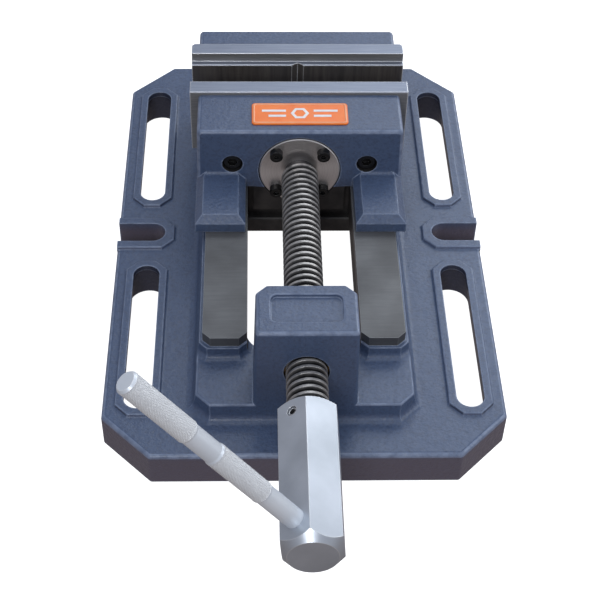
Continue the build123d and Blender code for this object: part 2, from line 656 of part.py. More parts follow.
def make_moving_jaw_casting():
    casting = jaw_body() + with_mirror(front_pad())
    corners = [edge for edge in casting.edges() if near(edge.center().Y, MOVING_FRONT_Y)]
    corners = [edge for edge in corners if near(edge.center().Z, PAD_TOP_Z)]
    casting = fillet(corners, PAD_FILLET)
    apron_x = (-APRON_HALF, APRON_HALF)
    tenon_x = (-TENON_HALF, TENON_HALF)
    casting += brick(apron_x, (MOVING_FRONT_Y, TENON_FRONT_Y + 1), (APRON_BOTTOM_Z, MOVING_FOOT_Z + 1))
    casting += brick(tenon_x, (TENON_FRONT_Y, MOVING_REAR_Y), (TENON_BOTTOM_Z, MOVING_FOOT_Z + 1))
    casting -= rod_y(FLANGE_RECESS_R, MOVING_FRONT_Y - 1, FLANGE_REAR_Y)
    casting -= rod_y(THRUST_POCKET_R, FLANGE_REAR_Y - 1, THRUST_POCKET_END_Y)
    hole_end_y = FLANGE_FRONT_Y + FLANGE_SCREW_LENGTH + 1
    for angle in FLANGE_SCREW_ANGLES:
        x, z = about_screw(angle, FLANGE_SCREW_PCD / 2)
        casting -= rod_y(CAP_SCREWS["M4"][0] + SEATED_GAP, FLANGE_REAR_Y - 1, hole_end_y, x, z)
    seat_y = MOVING_FRONT_Y + COUNTERBORE_DEPTH
    m6_r = CAP_SCREWS["M6"][0]
    for x in (-PLATE_SCREW_X, PLATE_SCREW_X):
        casting -= rod_y(COUNTERBORE_R, MOVING_FRONT_Y - 1, seat_y, x, PLATE_SCREW_Z)
        casting -= rod_y(m6_r + CLEAR_GAP, seat_y - 1, MOVING_REAR_Y + 1, x, PLATE_SCREW_Z)
    for x, y in keeper_screw_places():
        casting -= rod_z(m6_r + SEATED_GAP, TENON_BOTTOM_Z - 1, TENON_BOTTOM_Z + KEEPER_SCREW_BITE, x, y)
    return casting


def make_moving_jaw_plate():
    return jaw_plate(MOVING_REAR_Y, 1)


def make_moving_jaw_plate_screws():
    seat_y = MOVING_FRONT_Y + COUNTERBORE_DEPTH
    length = MOVING_REAR_Y - seat_y + PLATE_SCREW_BITE - 0.5
    screw = Rot(90, 0, 0) * cap_screw("M6", length)
    return [Pos(x, seat_y, PLATE_SCREW_Z) * screw for x in (-PLATE_SCREW_X, PLATE_SCREW_X)]


def make_nameplate():
    outline = RectangleRounded(NAMEPLATE_WIDTH, NAMEPLATE_LENGTH, NAMEPLATE_CORNER_RADIUS)
    plate = extrude(Pos(0, NAMEPLATE_Y, JAW_TOP_Z) * outline, NAMEPLATE_THICKNESS, dir=(0, 0, 1))
    return fillet(plate.faces().sort_by(Axis.Z)[-1].edges(), NAMEPLATE_THICKNESS * 0.4)


def make_screw_flange():
    flange = rod_y(FLANGE_R, FLANGE_FRONT_Y, FLANGE_REAR_Y)
    flange = chamfer(flange.edges().filter_by(GeomType.CIRCLE), 0.4)
    flange -= rod_y(NECK_R + RUNNING_GAP, FLANGE_FRONT_Y - 1, FLANGE_REAR_Y + 1)
    hole_r = CAP_SCREWS["M4"][0] + CLEAR_GAP
    for angle in FLANGE_SCREW_ANGLES:
        x, z = about_screw(angle, FLANGE_SCREW_PCD / 2)
        flange -= rod_y(hole_r, FLANGE_FRONT_Y - 1, FLANGE_REAR_Y + 1, x, z)
    return flange


def make_flange_screws():
    screw = Rot(90, 0, 0) * cap_screw("M4", FLANGE_SCREW_LENGTH)
    places = [about_screw(angle, FLANGE_SCREW_PCD / 2) for angle in FLANGE_SCREW_ANGLES]
    return [Pos(x, FLANGE_FRONT_Y, z) * screw for x, z in places]


def make_thrust_pad():
    pad = rod_y(THRUST_PAD_R, THRUST_POCKET_END_Y - THRUST_PAD_THICKNESS, THRUST_POCKET_END_Y)
    return chamfer(pad.edges().filter_by(GeomType.CIRCLE), 0.4)


def make_keeper_plate():
    keeper_x = (-KEEPER_HALF, KEEPER_HALF)
    keeper_y = (KEEPER_FRONT_Y, KEEPER_FRONT_Y + KEEPER_LENGTH)
    plate = chamfer(brick(keeper_x, keeper_y, (KEEPER_BOTTOM_Z, TENON_BOTTOM_Z)).edges(), KEEPER_CHAMFER)
    for x, y in keeper_screw_places():
        plate -= rod_z(CAP_SCREWS["M6"][0] + CLEAR_GAP, KEEPER_BOTTOM_Z - 1, TENON_BOTTOM_Z + 1, x, y)
        plate -= rod_z(KEEPER_COUNTERBORE_R, KEEPER_BOTTOM_Z - 1, KEEPER_SEAT_Z, x, y)
    return plate


def make_keeper_spring_washers():
    low_z = KEEPER_SEAT_Z - SPRING_WASHER_THICKNESS
    half_slit = SPRING_WASHER_SLIT / 2
    ring = rod_z(SPRING_WASHER_R, low_z, KEEPER_SEAT_Z)
    ring -= rod_z(CAP_SCREWS["M6"][0] + CLEAR_GAP, low_z - 1, KEEPER_SEAT_Z + 1)
    ring -= brick((0, SPRING_WASHER_R + 1), (-half_slit, half_slit), (low_z - 1, KEEPER_SEAT_Z + 1))
    return [Pos(x, y, 0) * ring for x, y in keeper_screw_places()]


def make_keeper_screws():
    seat_z = KEEPER_SEAT_Z - SPRING_WASHER_THICKNESS
    length = TENON_BOTTOM_Z - seat_z + KEEPER_SCREW_BITE - 0.5
    screw = Rot(180, 0, 0) * cap_screw("M6", length)
    return [Pos(x, y, seat_z) * screw for x, y in keeper_screw_places()]


# ---------------------------------------------------------------- lead screw and handle
def on_spoke(upright, y, angle):
    """Turn an upright piece about the screw axis, and move it to y along the screw."""
    return Pos(0, y, SCREW_Z) * Rot(0, angle, 0) * upright


def hub_pin_hole():
    hole = Cylinder(HUB_PIN_R + SEATED_GAP, 4 * HUB_CORNER_R)
    return on_spoke(hole, HUB_PIN_Y, HANDLE_ANGLE)


def collar_pin_hole():
    return on_spoke(Cylinder(COLLAR_PIN_R + SEATED_GAP, 4 * COLLAR_R), COLLAR_PIN_Y, 0)


def thread_profile():
    """(radius, y) points along the thread's section, from the hub to the plain neck."""
    points = []
    crest_y = THREAD_START_Y
    while crest_y < THREAD_END_Y - THREAD_CREST - THREAD_FLANK:
        crest_end_y = crest_y + THREAD_CREST
        root_y = crest_end_y + THREAD_FLANK
        points += [(THREAD_MAJOR_R, crest_y), (THREAD_MAJOR_R, crest_end_y), (THREAD_MINOR_R, root_y)]
        crest_y += THREAD_PITCH
        if crest_y < THREAD_END_Y - THREAD_CREST - THREAD_FLANK:
            points.append((THREAD_MINOR_R, crest_y - THREAD_FLANK))
    return points


def make_lead_screw():
    """Screw with a spigot for the hub and a plain neck that carries the collar."""
    edge = 0.8
    spigot_end_y = THREAD_START_Y - SPIGOT_LENGTH
    spigot = [
        (0, spigot_end_y),
        (SPIGOT_R - edge, spigot_end_y),
        (SPIGOT_R, spigot_end_y + edge),
        (SPIGOT_R, THREAD_START_Y),
    ]
    neck = [(NECK_R, SCREW_END_Y - edge), (NECK_R - edge, SCREW_END_Y), (0, SCREW_END_Y)]
    return turned_y(spigot + thread_profile() + neck) - collar_pin_hole() - hub_pin_hole()


def make_thrust_collar():
    collar = rod_y(COLLAR_R, COLLAR_START_Y, COLLAR_START_Y + COLLAR_LENGTH)
    collar = chamfer(collar.edges().filter_by(GeomType.CIRCLE), 0.5)
    collar -= rod_y(NECK_R + SEATED_GAP, COLLAR_START_Y - 1, COLLAR_START_Y + COLLAR_LENGTH + 1)
    return collar - collar_pin_hole()


def make_collar_pin():
    pin = Cylinder(COLLAR_PIN_R, 2 * COLLAR_R - 1)
    return on_spoke(chamfer(pin.edges().filter_by(GeomType.CIRCLE), 0.3), COLLAR_PIN_Y, 0)


def make_hex_hub():
    """Hexagon bar turned down at both ends, bored for the spigot, its pin and the handle."""
    corners = [about_screw(HUB_ANGLE + 60 * i, HUB_CORNER_R) for i in range(6)]
    turned = turned_y([
        (0, HUB_FRONT_Y),
        (HUB_FRONT_DISC_R, HUB_FRONT_Y),
        (HUB_CORNER_R, HUB_FRONT_Y + HUB_FRONT_CHAMFER),
        (HUB_CORNER_R, THREAD_START_Y - HUB_REAR_CHAMFER),
        (HUB_REAR_DISC_R, THREAD_START_Y),
        (0, THREAD_START_Y),
    ])
    hub = cross_prism(corners, HUB_FRONT_Y, THREAD_START_Y) & turned
    hub -= rod_y(SPIGOT_R + SEATED_GAP, THREAD_START_Y - SPIGOT_LENGTH - 1, THREAD_START_Y + 1)
    hub -= hub_pin_hole()
    stud_floor = HUB_ACROSS_FLATS / 2 - HANDLE_STUD_LENGTH - 1
    stud_hole = rod_z(HANDLE_STUD_R + SEATED_GAP, stud_floor, HUB_CORNER_R)
    return hub - on_spoke(stud_hole, HANDLE_Y, HANDLE_ANGLE)


def make_hub_spring_pin():
    """Slit tubular pin through hub and spigot."""
    pin = Cylinder(HUB_PIN_R, HUB_PIN_LENGTH)
    pin = chamfer(pin.edges().filter_by(GeomType.CIRCLE), 0.4)
    pin -= Cylinder(HUB_PIN_BORE_R, HUB_PIN_LENGTH + 2)
    half_slit = HUB_PIN_SLIT / 2
    pin -= brick((0, HUB_PIN_R + 1), (-half_slit, half_slit), (-HUB_PIN_LENGTH, HUB_PIN_LENGTH))
    return on_spoke(pin, HUB_PIN_Y, HANDLE_ANGLE)


def make_handle_bar():
    """Bar with a stud in the hub, two plain necks and two grips."""
    start = HUB_ACROSS_FLATS / 2
    bar = rod_z(HANDLE_STUD_R, start - HANDLE_STUD_LENGTH, start)
    for end, radius in HANDLE_STEPS:
        stretch = rod_z(radius, start, end)
        if radius == HANDLE_GRIP_R:
            cut = HANDLE_END_CHAMFER if end == HANDLE_STEPS[-1][0] else HANDLE_STEP_CHAMFER
            ends = stretch.edges().filter_by(GeomType.CIRCLE).sort_by(Axis.Z)
            stretch = chamfer(ends[0], HANDLE_STEP_CHAMFER)
            stretch = chamfer(stretch.edges().filter_by(GeomType.CIRCLE).sort_by(Axis.Z)[-1], cut)
        bar += stretch
        start = end
    return on_spoke(bar, HANDLE_Y, HANDLE_ANGLE)


# ---------------------------------------------------------------- output
NODES = {
    "base_casting": make_base_casting,
    "lead_screw_nut": make_lead_screw_nut,
    "nut_locking_pin": make_nut_locking_pin,
    "fixed_jaw_plate": make_fixed_jaw_plate,
    "fixed_jaw_plate_screws": make_fixed_jaw_plate_screws,
    "moving_jaw_casting": make_moving_jaw_casting,
    "moving_jaw_plate": make_moving_jaw_plate,
    "moving_jaw_plate_screws": make_moving_jaw_plate_screws,
    "nameplate": make_nameplate,
    "screw_flange": make_screw_flange,
    "flange_screws": make_flange_screws,
    "thrust_pad": make_thrust_pad,
    "keeper_plate": make_keeper_plate,
    "keeper_spring_washers": make_keeper_spring_washers,
    "keeper_screws": make_keeper_screws,
    "lead_screw": make_lead_screw,
    "thrust_collar": make_thrust_collar,
    "collar_pin": make_collar_pin,
    "hex_hub": make_hex_hub,
    "hub_spring_pin": make_hub_spring_pin,
    "handle_bar": make_handle_bar,
}

os.makedirs("parts", exist_ok=True)
for name, make in NODES.items():
    made = make()
    pieces = made if isinstance(made, list) else [made]
    solids = [solid for piece in pieces for solid in piece.solids()]
    shape = solids[0] if len(solids) == 1 else Compound(children=solids)
    export_step(shape, f"parts/{name}.step")
    print(name, len(solids), round(sum(solid.volume for solid in solids)))
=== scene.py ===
import math

import bmesh
import bpy
from mathutils import Matrix, Vector


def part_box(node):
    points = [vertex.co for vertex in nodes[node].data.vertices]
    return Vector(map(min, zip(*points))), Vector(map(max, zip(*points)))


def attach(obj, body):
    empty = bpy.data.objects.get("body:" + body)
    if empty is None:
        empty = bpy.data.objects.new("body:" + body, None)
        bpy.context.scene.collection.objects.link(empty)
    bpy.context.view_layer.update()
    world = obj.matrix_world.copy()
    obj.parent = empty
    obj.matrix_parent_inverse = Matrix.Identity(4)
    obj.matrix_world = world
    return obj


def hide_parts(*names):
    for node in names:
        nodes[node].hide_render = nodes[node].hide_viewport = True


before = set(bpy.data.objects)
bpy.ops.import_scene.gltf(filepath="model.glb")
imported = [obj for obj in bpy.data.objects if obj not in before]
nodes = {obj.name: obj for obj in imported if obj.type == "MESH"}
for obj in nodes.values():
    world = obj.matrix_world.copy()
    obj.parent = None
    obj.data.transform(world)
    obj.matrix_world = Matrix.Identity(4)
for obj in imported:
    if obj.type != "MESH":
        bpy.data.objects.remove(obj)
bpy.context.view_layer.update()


MM = 0.001

# Places taken from the CAD parts
FLANGE_LOW, FLANGE_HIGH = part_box("screw_flange")
SCREW_Z = (FLANGE_LOW.z + FLANGE_HIGH.z) / 2
HANDLE_LOW, HANDLE_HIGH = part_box("handle_bar")
HANDLE_Y = (HANDLE_LOW.y + HANDLE_HIGH.y) / 2
PLATE_LOW, PLATE_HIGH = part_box("nameplate")
PLATE_CENTRE = (PLATE_LOW + PLATE_HIGH) / 2
JAW_PLATE_CLEARANCE = 0.8 * MM         # from the ways up to the jaw plate's lower edge
WAY_TOP_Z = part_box("moving_jaw_plate")[0].z - JAW_PLATE_CLEARANCE
FLOOR_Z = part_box("base_casting")[0].z - 0.2 * MM


# ---------------------------------------------------------------- shader helpers
class Shader:
    """A node material, with short ways to add and join its nodes."""

    def __init__(self, name):
        self.material = bpy.data.materials.new(name)
        self.material.use_nodes = True
        self.tree = self.material.node_tree
        self.tree.nodes.clear()
        self.output = self.tree.nodes.new("ShaderNodeOutputMaterial")
        self.surface = self.add("ShaderNodeBsdfPrincipled")
        self.join(self.surface.outputs["BSDF"], self.output.inputs["Surface"])
        self.place = self.add("ShaderNodeTexCoord").outputs["Object"]

    def add(self, kind, **values):
        """New node with its settings."""
        node = self.tree.nodes.new(kind)
        for key, value in values.items():
            setattr(node, key, value)
        return node

    def join(self, source, target):
        self.tree.links.new(source, target)

    def feed(self, node, values):
        """Set or join a node's inputs, given by name or number."""
        for key, value in values.items():
            if isinstance(value, bpy.types.NodeSocket):
                self.join(value, node.inputs[key])
            else:
                node.inputs[key].default_value = value
        return node

    def set(self, **values):
        """Set the surface's inputs; underscores stand for spaces."""
        self.feed(self.surface, {key.replace("_", " "): value for key, value in values.items()})

    def noise(self, scale, detail=3.0, roughness=0.5, stretch=None):
        """Noise with scale in features per metre; stretch scales each axis of the object."""
        place = self.place
        if stretch:
            mapping = self.add("ShaderNodeMapping")
            place = self.feed(mapping, {"Vector": place, "Scale": stretch}).outputs["Vector"]
        node = self.add("ShaderNodeTexNoise")
        self.feed(node, {"Vector": place, "Scale": scale, "Detail": detail, "Roughness": roughness})
        return node.outputs["Fac"]

    def ramp(self, value, stops):
        """Value to colour, or to grey where a stop is a number."""
        node = self.add("ShaderNodeValToRGB")
        elements = node.color_ramp.elements
        while len(elements) < len(stops):
            elements.new(1.0)
        for element, (place, colour) in zip(elements, stops):
            element.position = place
            element.color = (colour,) * 3 + (1,) if isinstance(colour, float) else (*colour, 1)
        self.join(value, node.inputs["Fac"])
        return node.outputs["Color"]

    def mix(self, share, first, second):
        """Blend of two colours, or sockets."""
        node = self.add("ShaderNodeMix", data_type="RGBA")
        for key, value in ((0, share), (6, first), (7, second)):
            if isinstance(value, tuple):
                value = (*value, 1)
            self.feed(node, {key: value})
        return node.outputs[2]

    def split(self, vector):
        """The x, y and z sockets of a vector."""
        return self.feed(self.add("ShaderNodeSeparateXYZ"), {0: vector}).outputs

    def math(self, operation, first, second=0.0, third=0.0):
        """Result of an arithmetic node on numbers or sockets."""
        node = self.add("ShaderNodeMath", operation=operation)
        self.feed(node, {0: first, 1: second, 2: third})
        return node.outputs[0]

    def bump(self, height, depth, under=None):
        """Bump of a depth in metres; under is another bump that this one adds to."""
        node = self.add("ShaderNodeBump")
        self.feed(node, {"Height": height, "Strength": 1.0, "Distance": depth})
        if under:
            self.join(under, node.inputs["Normal"])
        return node.outputs["Normal"]

    def rounded(self, radius):
        """Normal rounded over edges, as a last fraction of a millimetre off every corner."""
        node = self.add("ShaderNodeBevel", samples=6)
        self.feed(node, {"Radius": radius})
        return node.outputs["Normal"]

    def edges(self, radius):
        """1 along the part's edges and 0 on its flats."""
        flat = self.add("ShaderNodeNewGeometry").outputs["True Normal"]
        dot = self.add("ShaderNodeVectorMath", operation="DOT_PRODUCT")
        self.feed(dot, {0: self.rounded(radius), 1: flat})
        bent = self.math("SUBTRACT", 1.0, dot.outputs["Value"])
        return self.ramp(bent, [(0.01, 0.0), (0.09, 1.0)])


# ---------------------------------------------------------------- materials
def paint(name, low, high, full_floor_reflection=True, wear_and_highlight=0.0):
    """Blue-grey hammered enamel over rough iron, lighter along the edges: partly wear, partly
    painted highlight.

    A reddish painted reflection of a warm floor lies on the upright faces near the foot; the last
    argument lightens the flats too, as wear and painted highlight.
    """
    shader = Shader(name)
    tone = shader.ramp(shader.noise(14, 5), [(0.3, low), (0.7, high)])
    pores = shader.ramp(shader.noise(620, 3, 0.6), [(0.36, 0.45), (0.52, 0.0)])
    tone = shader.mix(pores, tone, (0.045, 0.060, 0.105))
    # Painted reflection of a warm floor: reddish tint on upright faces low down
    facing = shader.split(shader.add("ShaderNodeNewGeometry").outputs["True Normal"])
    decimetres = shader.math("MULTIPLY", shader.split(shader.place)["Z"], 10.0)
    low_down = shader.ramp(decimetres, [(0.16, 1.0), (0.24, 0.0)])
    on_side = shader.ramp(shader.math("ABSOLUTE", facing["Z"]), [(0.2, 1.0), (0.6, 0.0)])
    floor_reflection = shader.math("MULTIPLY", shader.math("MULTIPLY", low_down, on_side), 0.6 if full_floor_reflection else 0.1)
    tone = shader.mix(floor_reflection, tone, (0.150, 0.105, 0.110))
    # Lighter enamel along the edges and, by the last argument, on the flats: wear and painted
    # highlight
    patches = shader.ramp(shader.noise(200, 4), [(0.35, 0.45), (0.6, 1.0)])
    worn_highlit = shader.math("MULTIPLY", shader.math("MAXIMUM", shader.edges(1.3 * MM), wear_and_highlight), patches)
    shader.set(Base_Color=shader.mix(worn_highlit, tone, (0.30, 0.36, 0.50)))
    shader.set(Roughness=shader.ramp(shader.noise(420, 3), [(0.3, 0.30), (0.7, 0.46)]))
    skin = shader.bump(shader.noise(110, 2), 0.45 * MM, shader.rounded(1.1 * MM))
    peel = shader.bump(shader.noise(520, 3, 0.6), 0.42 * MM, skin)
    shader.set(Normal=peel, Coat_Weight=0.25, Coat_Roughness=0.24)
    return shader.material


def bare_iron_in_shade():
    """Unpainted cast and milled iron, matt, its dark tone a painted shade for the recesses, bores
    and undersides it covers.
    """
    shader = Shader("bare_iron_in_shade")
    cloud = shader.noise(120, 4)
    tone = shader.ramp(cloud, [(0.3, (0.030, 0.029, 0.030)), (0.7, (0.070, 0.066, 0.064))])
    shader.set(Base_Color=tone, Metallic=0.6, Roughness=0.55)
    shader.set(Normal=shader.bump(shader.noise(700, 3), 0.08 * MM, shader.rounded(0.5 * MM)))
    return shader.material


def milled_way():
    """Ground way: fine marks across it, dull smears, and a painted highlight along its thin edges.
    """
    shader = Shader("milled_way")
    marks = shader.noise(1.0, 3, 0.6, stretch=(60, 900, 300))
    smear = shader.noise(38, 5)
    tone = shader.ramp(marks, [(0.3, (0.122, 0.124, 0.128)), (0.7, (0.146, 0.149, 0.154))])
    tone = shader.mix(shader.ramp(smear, [(0.38, 0.0), (0.68, 0.65)]), tone, (0.088, 0.088, 0.090))
    shader.set(Base_Color=shader.mix(shader.edges(0.5 * MM), tone, (0.30, 0.31, 0.32)))
    shader.set(Metallic=0.45, Roughness=shader.ramp(smear, [(0.3, 0.40), (0.7, 0.52)]))
    shader.set(Normal=shader.bump(marks, 0.006 * MM, shader.rounded(0.3 * MM)))
    return shader.material


def ground_steel(name, low, high, roughness, edge=(0.95, 0.96, 0.98), metallic=0.9):
    """Ground steel, its marks along X, with a painted highlight along its edges."""
    shader = Shader(name)
    marks = shader.noise(1.0, 3, 0.6, stretch=(60, 1800, 1800))
    tone = shader.ramp(marks, [(0.3, low), (0.7, high)])
    # Near-white, glossier edges: a painted highlight
    rim = shader.edges(0.9 * MM)
    shader.set(Base_Color=shader.mix(rim, tone, edge), Metallic=metallic)
    shader.set(Roughness=shader.math("MULTIPLY_ADD", rim, -0.18, roughness))
    shader.set(Normal=shader.bump(marks, 0.012 * MM, shader.rounded(0.6 * MM)))
    return shader.material


def work_face_steel_in_shade():
    """Wide face of a hardened jaw plate: streaked upright, brownish with grey clouds, dark as
    painted shade.
    """
    shader = Shader("work_face_steel_in_shade")
    cloud = shader.noise(24, 5)
    streak = shader.noise(1.0, 4, 0.65, stretch=(420, 60, 26))
    tone = shader.ramp(streak, [(0.3, (0.058, 0.051, 0.048)), (0.7, (0.138, 0.122, 0.110))])
    tone = shader.mix(shader.ramp(cloud, [(0.35, 0.0), (0.7, 0.7)]), tone, (0.078, 0.077, 0.084))
    # Near-white edges: a painted highlight
    shader.set(Base_Color=shader.mix(shader.edges(0.9 * MM), tone, (0.92, 0.93, 0.95)))
    shader.set(Metallic=0.25, Roughness=shader.ramp(cloud, [(0.3, 0.30), (0.7, 0.42)]))
    shader.set(Normal=shader.rounded(0.6 * MM))
    return shader.material


def black_oxide():
    """Blackened cap screw."""
    shader = Shader("black_oxide")
    grain = shader.noise(500, 3)
    tone = shader.ramp(grain, [(0.3, (0.010, 0.010, 0.011)), (0.7, (0.022, 0.021, 0.021))])
    # Lighter along the edges: a painted highlight
    shader.set(Base_Color=shader.mix(shader.edges(0.3 * MM), tone, (0.10, 0.10, 0.10)))
    shader.set(Metallic=0.5, Roughness=0.36, Normal=shader.rounded(0.2 * MM))
    return shader.material


def radius_from_screw(shader):
    """Distance from the lead screw's axis, in metres."""
    place = shader.split(shader.place)
    height = shader.math("SUBTRACT", place["Z"], SCREW_Z)
    across = shader.math("POWER", place["X"], 2)
    return shader.math("SQRT", shader.math("MULTIPLY_ADD", height, height, across))


def turned(name, low, high, roughness):
    """Steel turned about the screw's axis: fine rings, and a highlight that fans out."""
    shader = Shader(name)
    radius = radius_from_screw(shader)
    noise = shader.add("ShaderNodeTexNoise", noise_dimensions="1D")
    rings = shader.feed(noise, {"W": radius, "Scale": 2600.0, "Detail": 3.0}).outputs["Fac"]
    tone = shader.ramp(rings, [(0.3, low), (0.7, high)])
    shader.set(Base_Color=shader.mix(shader.edges(0.5 * MM), tone, (0.62, 0.62, 0.62)))
    shader.set(Metallic=0.9, Roughness=roughness, Anisotropic=0.75)
    tangent = shader.add("ShaderNodeTangent", direction_type="RADIAL", axis="Y")
    shader.join(tangent.outputs["Tangent"], shader.surface.inputs["Tangent"])
    shader.set(Normal=shader.bump(rings, 0.01 * MM))
    return shader.material


def screw_thread():
    """Rolled thread, toned by distance from the axis: painted highlight on the crests, painted shade
    in the grooves.
    """
    shader = Shader("screw_thread")
    radius = radius_from_screw(shader)
    depth = shader.add("ShaderNodeMapRange")
    shader.feed(depth, {"Value": radius, "From Min": 7.7 * MM, "From Max": 10.0 * MM})
    grime = shader.noise(300, 4)
    groove_shade = shader.ramp(grime, [(0.3, (0.040, 0.040, 0.044)), (0.7, (0.095, 0.092, 0.094))])
    crest_highlight = shader.ramp(grime, [(0.3, (0.32, 0.31, 0.30)), (0.7, (0.54, 0.52, 0.50))])
    # Darker deeper in the thread: painted shade in the grooves, painted highlight on the crests
    share = shader.ramp(depth.outputs["Result"], [(0.35, 0.0), (0.80, 0.45), (0.97, 1.0)])
    shader.set(Base_Color=shader.mix(share, groove_shade, crest_highlight), Metallic=0.75)
    shader.set(Roughness=shader.ramp(grime, [(0.3, 0.32), (0.7, 0.46)]))
    shader.set(Normal=shader.rounded(0.25 * MM))
    return shader.material


def plated(name, low, high, roughness, grain, metallic=0.82):
    """Satin plating over milled steel; grain is the noise stretch along each axis."""
    shader = Shader(name)
    marks = shader.noise(1.0, 4, 0.6, stretch=grain)
    patch = shader.noise(45, 4)
    tone = shader.mix(shader.ramp(patch, [(0.3, 0.0), (0.7, 1.0)]), low, high)
    # Lighter along the edges: a painted highlight
    shader.set(Base_Color=shader.mix(shader.edges(0.7 * MM), tone, (0.90, 0.91, 0.92)))
    shader.set(Metallic=metallic, Roughness=roughness)
    shader.set(Normal=shader.bump(marks, 0.012 * MM, shader.rounded(0.4 * MM)))
    return shader.material


def bronze():
    """Turned bronze of the nut."""
    shader = Shader("bronze")
    tone = shader.ramp(shader.noise(90, 4), [(0.3, (0.36, 0.22, 0.08)), (0.7, (0.52, 0.35, 0.14))])
    shader.set(Base_Color=tone, Metallic=0.95, Roughness=0.35, Normal=shader.rounded(0.3 * MM))
    return shader.material


def enamel(name, low, high):
    """Gloss enamel of the nameplate."""
    shader = Shader(name)
    shader.set(Base_Color=shader.ramp(shader.noise(130, 3), [(0.3, low), (0.7, high)]))
    shader.set(Roughness=0.34, Coat_Weight=0.2, Coat_Roughness=0.15)
    shader.set(Normal=shader.bump(shader.noise(700, 2), 0.02 * MM, shader.rounded(0.3 * MM)))
    return shader.material


def table_top():
    """Plain pale floor, lit evenly."""
    shader = Shader("pale_floor")
    shader.set(Base_Color=(0.6, 0.6, 0.6, 1), Roughness=0.9, Specular_IOR_Level=0.1)
    shader.set(Emission_Color=(1, 1, 1, 1), Emission_Strength=1.0)
    return shader.material


BLUE_GREY = ((0.062, 0.094, 0.174), (0.080, 0.117, 0.204))
PAINT = paint("blue_grey_enamel", *BLUE_GREY)
# Lighter enamel for rims and top edges: partly wear, partly painted highlight
WORN_HIGHLIT = paint("worn_highlit_enamel", *BLUE_GREY, wear_and_highlight=0.55)
# Darker copy of the enamel for slot walls: painted shade
SHADED = paint("slot_enamel_in_shade", (0.022, 0.031, 0.062), (0.032, 0.044, 0.082), full_floor_reflection=False)
BARE_IN_SHADE = bare_iron_in_shade()
WAY = milled_way()
# Copies of the jaw plates' ground steel by the way a face points: lighter, bluer tops as a painted
# reflection
PLATE_TOP = ground_steel("ground_top", (0.22, 0.245, 0.31), (0.29, 0.32, 0.39), 0.42, metallic=0.7)
PLATE_END = ground_steel("ground_end", (0.20, 0.20, 0.20), (0.30, 0.29, 0.28), 0.38, metallic=0.4)
WORK_FACE_IN_SHADE = work_face_steel_in_shade()
BLACK = black_oxide()
FLANGE = turned("turned_flange", (0.60, 0.56, 0.55), (0.76, 0.72, 0.69), 0.36)
THREAD = screw_thread()
HUB = plated("satin_hub", (0.50, 0.54, 0.59), (0.64, 0.68, 0.74), 0.38, (700, 60, 700))
HANDLE = plated("satin_handle", (0.73, 0.79, 0.86), (0.83, 0.87, 0.92), 0.38, (500, 500, 500), 0.3)
STEEL = ground_steel("milled_steel", (0.20, 0.20, 0.21), (0.32, 0.32, 0.33), 0.38)
BRONZE = bronze()
ORANGE = enamel("orange_enamel", (0.97, 0.180, 0.008), (1.0, 0.220, 0.013))
ORANGE_RIM = enamel("orange_rim", (1.0, 0.36, 0.16), (1.0, 0.44, 0.22))
WHITE = enamel("white_enamel", (0.80, 0.78, 0.77), (0.92, 0.90, 0.89))


def dress(name, chooser, *materials):
    """Give a CAD node its materials; chooser picks one for each face from its centre and normal."""
    mesh = nodes[name].data
    mesh.materials.clear()
    for material in materials:
        mesh.materials.append(material)
    for face in mesh.polygons:
        face.material_index = chooser(face.center / MM, face.normal) if chooser else 0


# ---------------------------------------------------------------- which face has which finish
# Places on the CAD parts, in millimetres, where one finish ends and another begins
WAY_INNER_X, WAY_OUTER_X, WAY_LOW_Z, WAY_REAR_Y = 28.5, 50.8, 38.0, 90.0
WINDOW_FRONT_Y, WINDOW_REAR_Y = -97.2, 68.2
POCKET_HALF, POCKET_FRONT_Y, POCKET_REAR_Y, POCKET_TOP_Z = 46.6, -92.1, 70.1, 20.1
NUT_BORE_RADIUS, NUT_BORE_REAR_Y = 15.1, -100.0
FIXED_FACE_Y, PLATE_FOOT_Z = 90.0, 44.0
PLATE_SCREW_X, PLATE_SCREW_Z, COUNTERBORE_RADIUS = 36.6, 60.0, 5.8
SLOT_X, SLOT_Y, SLOT_WALL_X, SLOT_WALL_Y = 83.0, 76.5, 10.6, 53.0
BOSS_RIM, BOSS_INNER_X = (21.3, 21.99), 64.0
OTHER_RIMS = ((17.5, 19.98), (30.0, 31.18), (80.0, 82.48))
FLANGE_RECESS_RADIUS = 22.6
JAW_RECESS_Y, JAW_REAR_Y, JAW_FOOT_Z, JAW_HIGHLIT_Z = 13.6, 44.9, 43.9, 56.0
BETWEEN_PLATES_Y, STEP_FACE_Z = 65.0, 79.3
NEAR = 0.1                             # how far past a place still counts as on it


def from_screw(centre):
    """Distance of a place from the lead screw's axis."""
    return math.hypot(centre.x, centre.z - SCREW_Z / MM)


def in_counterbore(centre, y):
    """Whether a place is in a jaw plate screw's counterbore, beyond y."""
    across = math.hypot(abs(centre.x) - PLATE_SCREW_X, centre.z - PLATE_SCREW_Z)
    return across < COUNTERBORE_RADIUS and centre.y > y


def at_rim(x, z):
    """Whether a place is on the rounded rim of the plate, a boss, the platform or a jaw."""
    if BOSS_RIM[0] < z < BOSS_RIM[1]:
        return x > BOSS_INNER_X
    return any(low < z < high for low, high in OTHER_RIMS)


